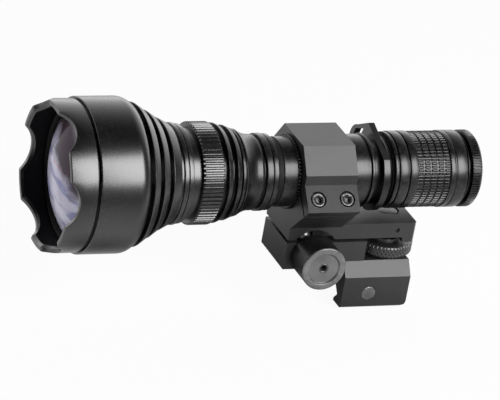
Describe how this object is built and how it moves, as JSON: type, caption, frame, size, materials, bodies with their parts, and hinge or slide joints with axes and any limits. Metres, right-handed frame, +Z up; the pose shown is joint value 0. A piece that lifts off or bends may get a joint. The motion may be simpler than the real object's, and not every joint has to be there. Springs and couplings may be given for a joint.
{
  "type": "infrared illuminator",
  "caption": "Black infrared illuminator: a focusing torch with a notched bezel and finned head, pinch-clamped to a rail mount with windage and elevation adjustment.",
  "frame": {"origin": "centre of the foot's rail seat, in the plane of the rail's top", "axes": "+X runs back along the rail and the torch, with the lens at -X; +Z is up, away from the rail; the windage knob is on the -Y side and the clamp nut on the +Y side"},
  "size_m": [0.176, 0.0598, 0.0835],
  "materials": {
    "torch_black": "black hard-anodised, satin",
    "mount_black": "black anodised over bead blasting, matt",
    "bare_metal": "turned bright",
    "thread_brass": "turned",
    "spring_plate": "plated",
    "coated_lens": "polished, with a violet coating",
    "black_rubber": "matt",
    "board_metal": "white lacquer",
    "emitter_resin": "clear resin",
    "board_green": "green solder lacquer",
    "cell_sleeve": "blue shrink sleeve",
    "switch_plastic": "moulded"
  },
  "bodies": {
    "foot": {"rail_foot": "mount_black", "clamp_bolt": "bare_metal", "pivot_screw": "bare_metal", "windage_nut": "thread_brass"},
    "jaw": {"clamp_jaw": "mount_black"},
    "jaw_nut": {"clamp_nut": "mount_black"},
    "carriage": {"carriage": "mount_black", "hinge_pin": "bare_metal"},
    "knob": {"windage_knob": "mount_black", "windage_screw": "bare_metal", "windage_clip": "bare_metal"},
    "wheel": {"elevation_wheel": "bare_metal", "elevation_screw": "bare_metal", "elevation_clip": "bare_metal"},
    "cradle": {"cradle": "mount_black", "clamp_screws": "bare_metal", "elevation_nut": "bare_metal", "elevation_cross_pins": "bare_metal", "bezel": "torch_black", "lens_ring": "torch_black", "lens": "coated_lens", "lens_gasket": "black_rubber", "head_shell": "torch_black", "neck_body": "torch_black", "driver_board": "board_green", "front_spring": "spring_plate", "neck_o_ring": "black_rubber", "battery_tube": "torch_black", "battery_cell": "cell_sleeve", "stop_collar": "torch_black", "lanyard_ring": "torch_black", "tail_o_ring": "black_rubber"},
    "focus_ring": {"focus_ring": "torch_black"},
    "emitter": {"emitter_carrier": "torch_black", "emitter_board": "board_metal", "emitter": "emitter_resin"},
    "tail_cap": {"tail_cap": "torch_black", "switch_retainer": "bare_metal", "switch_module": "switch_plastic", "tail_spring": "spring_plate"},
    "button": {"switch_button": "black_rubber"}
  },
  "joints": [
    {"name": "windage_swing", "type": "hinge", "parent": "foot", "child": "carriage", "pos_m": [-0.0097, 0, 0.012], "axis": [0, 0, 1], "range_deg": [-1.5, 1.5]},
    {"name": "windage_knob_spin", "type": "hinge", "parent": "carriage", "child": "knob", "pos_m": [-0.0282, 0, 0.0155], "axis": [0, -1, 0], "range_deg": [-249, 249]},
    {"name": "elevation_tilt", "type": "hinge", "parent": "carriage", "child": "cradle", "pos_m": [-0.0319, 0, 0.0224], "axis": [0, -1, 0], "range_deg": [-0.5, 2.5]},
    {"name": "elevation_wheel_spin", "type": "hinge", "parent": "carriage", "child": "wheel", "pos_m": [0.0063, 0, 0.0152], "axis": [0, 0, -1], "range_deg": [-150, 750]},
    {"name": "focus_ring_spin", "type": "hinge", "parent": "cradle", "child": "focus_ring", "pos_m": [-0.0773, 0, 0.046], "axis": [1, 0, 0], "range_deg": [0, 240]},
    {"name": "emitter_slide", "type": "slide", "parent": "cradle", "child": "emitter", "axis": [1, 0, 0], "range_m": [0, 0.008]},
    {"name": "tail_cap_twist", "type": "hinge", "parent": "cradle", "child": "tail_cap", "pos_m": [0.018, 0, 0.046], "axis": [1, 0, 0], "range_deg": [0, 90]},
    {"name": "button_press", "type": "slide", "parent": "tail_cap", "child": "button", "axis": [-1, 0, 0], "range_m": [0, 0.0012], "stiffness_N_per_m": 800, "springref_m": -0.0002},
    {"name": "clamp_jaw_slide", "type": "slide", "parent": "foot", "child": "jaw", "axis": [0, 1, 0], "range_m": [0, 0.0025]},
    {"name": "clamp_nut_spin", "type": "hinge", "parent": "jaw", "child": "jaw_nut", "pos_m": [-0.0028, 0.0187, -0.0006], "axis": [0, 1, 0], "range_deg": [0, 1126]}
  ],
  "couplings": [
    {"joint": "windage_swing", "follows": "windage_knob_spin", "ratio": 0.0060221},
    {"joint": "elevation_tilt", "follows": "elevation_wheel_spin", "ratio": 0.0033331},
    {"joint": "emitter_slide", "follows": "focus_ring_spin", "m_per_rad": 0.0019},
    {"joint": "clamp_nut_spin", "follows": "clamp_jaw_slide", "rad_per_m": 7854}
  ]
}
